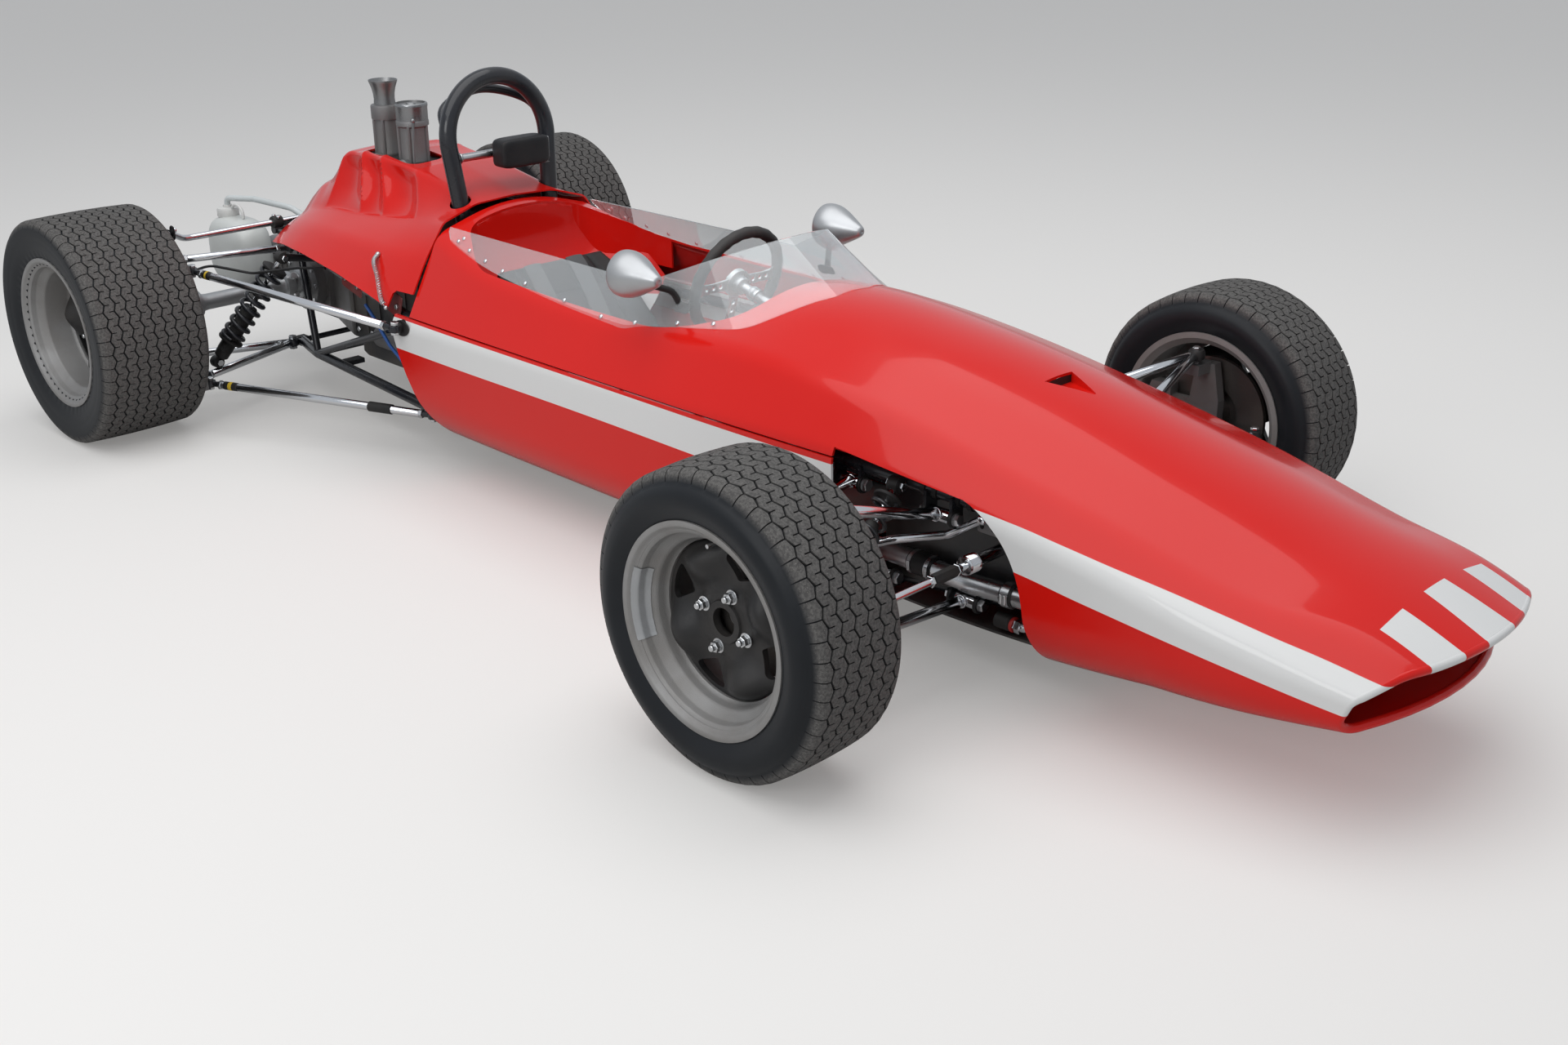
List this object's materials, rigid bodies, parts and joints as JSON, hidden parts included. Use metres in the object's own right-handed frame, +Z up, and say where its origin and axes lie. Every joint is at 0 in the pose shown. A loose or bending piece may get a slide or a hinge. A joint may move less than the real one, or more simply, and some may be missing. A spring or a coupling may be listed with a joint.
{
  "type": "open wheel racing car",
  "caption": "Single-seat open wheel racing car with a wedge nose, wrap-round screen, roll hoop, wide rear wheels and working steering.",
  "frame": {"origin": "on the ground under the middle of the overall length, on the car's centre plane", "axes": "+X ahead towards the nose, +Y to the driver's left, +Z up"},
  "size_m": [3.58, 1.6272, 0.8919],
  "materials": {
    "body_paint": "gloss red with white stripes",
    "panel_black": "satin black",
    "frame_paint": "satin blue-black",
    "clear_screen": "clear sheet",
    "black_trim": "matte",
    "padding": "black padded cover",
    "bright_steel": "plated",
    "brushed": "brushed",
    "cast_alloy": "as cast",
    "wheel_alloy": "painted silver grey with a dark centre",
    "tyre_rubber": "worn tread, smooth sidewall",
    "iron": "machined faces",
    "engine_grey": "painted dark grey",
    "pipe_steel": "heat-tinted",
    "bottle": "milky white"
  },
  "bodies": {
    "chassis": {"upper_body": "body_paint", "side_panel_left": "body_paint", "side_panel_right": "body_paint", "floor_pan": "panel_black", "bulkhead": "panel_black", "engine_cover": "body_paint", "windscreen": "clear_screen", "dash_panel": "black_trim", "seat": "padding", "roll_hoop": "frame_paint", "headrest": "padding", "mirrors": "brushed", "engine_block": "engine_grey", "carburettors": "cast_alloy", "gearbox": "cast_alloy", "exhaust": "pipe_steel", "catch_tank": "bottle", "radiator": "engine_grey", "water_pipes": "brushed", "frame_front": "frame_paint", "frame_rail_left": "frame_paint", "frame_rail_right": "frame_paint", "frame_rear": "frame_paint", "front_wishbones": "bright_steel", "rear_wishbones": "bright_steel", "radius_rods": "bright_steel", "front_dampers": "black_trim", "rear_dampers": "black_trim", "anti_roll_bar": "bright_steel", "rack_housing": "cast_alloy", "rear_uprights": "cast_alloy"},
    "steering_wheel": {"steering_wheel": "black_trim", "steering_column": "brushed"},
    "steering_rack": {"steering_rack": "bright_steel"},
    "knuckle_left": {"front_upright_left": "cast_alloy"},
    "front_wheel_left": {"front_left_rim": "wheel_alloy", "front_left_tyre": "tyre_rubber", "front_left_disc": "iron"},
    "rear_wheel_left": {"rear_left_rim": "wheel_alloy", "rear_left_tyre": "tyre_rubber", "rear_left_disc": "iron", "driveshaft_left": "brushed"},
    "knuckle_right": {"front_upright_right": "cast_alloy"},
    "front_wheel_right": {"front_right_rim": "wheel_alloy", "front_right_tyre": "tyre_rubber", "front_right_disc": "iron"},
    "rear_wheel_right": {"rear_right_rim": "wheel_alloy", "rear_right_tyre": "tyre_rubber", "rear_right_disc": "iron", "driveshaft_right": "brushed"}
  },
  "joints": [
    {"name": "steering", "type": "hinge", "parent": "chassis", "child": "steering_wheel", "pos_m": [0.118, 0, 0.532], "axis": [0.9596, 0, -0.2812], "range_deg": [-270, 270]},
    {"name": "rack", "type": "slide", "parent": "chassis", "child": "steering_rack", "axis": [0, 1, 0], "range_m": [-0.04448, 0.04448]},
    {"name": "kingpin_left", "type": "hinge", "parent": "chassis", "child": "knuckle_left", "pos_m": [0.87, 0.607, 0.172], "axis": [-0.0281, -0.0842, 0.9961], "range_deg": [-18.4, 18.4]},
    {"name": "front_left_spin", "type": "hinge", "parent": "knuckle_left", "child": "front_wheel_left", "pos_m": [0.87, 0.705, 0.264], "axis": [0, 1, 0], "continuous": true},
    {"name": "kingpin_right", "type": "hinge", "parent": "chassis", "child": "knuckle_right", "pos_m": [0.87, -0.607, 0.172], "axis": [-0.0281, 0.0842, 0.9961], "range_deg": [-18.4, 18.4]},
    {"name": "front_right_spin", "type": "hinge", "parent": "knuckle_right", "child": "front_wheel_right", "pos_m": [0.87, -0.705, 0.264], "axis": [0, 1, 0], "continuous": true},
    {"name": "rear_left_spin", "type": "hinge", "parent": "chassis", "child": "rear_wheel_left", "pos_m": [-1.43, 0.6775, 0.276], "axis": [0, 1, 0], "continuous": true},
    {"name": "rear_right_spin", "type": "hinge", "parent": "chassis", "child": "rear_wheel_right", "pos_m": [-1.43, -0.6775, 0.276], "axis": [0, 1, 0], "continuous": true}
  ],
  "couplings": [
    {"joint": "rack", "follows": "steering", "m_per_rad": -0.0093117},
    {"joint": "kingpin_left", "follows": "steering", "ratio": -0.066667},
    {"joint": "kingpin_right", "follows": "steering", "ratio": -0.066667}
  ]
}
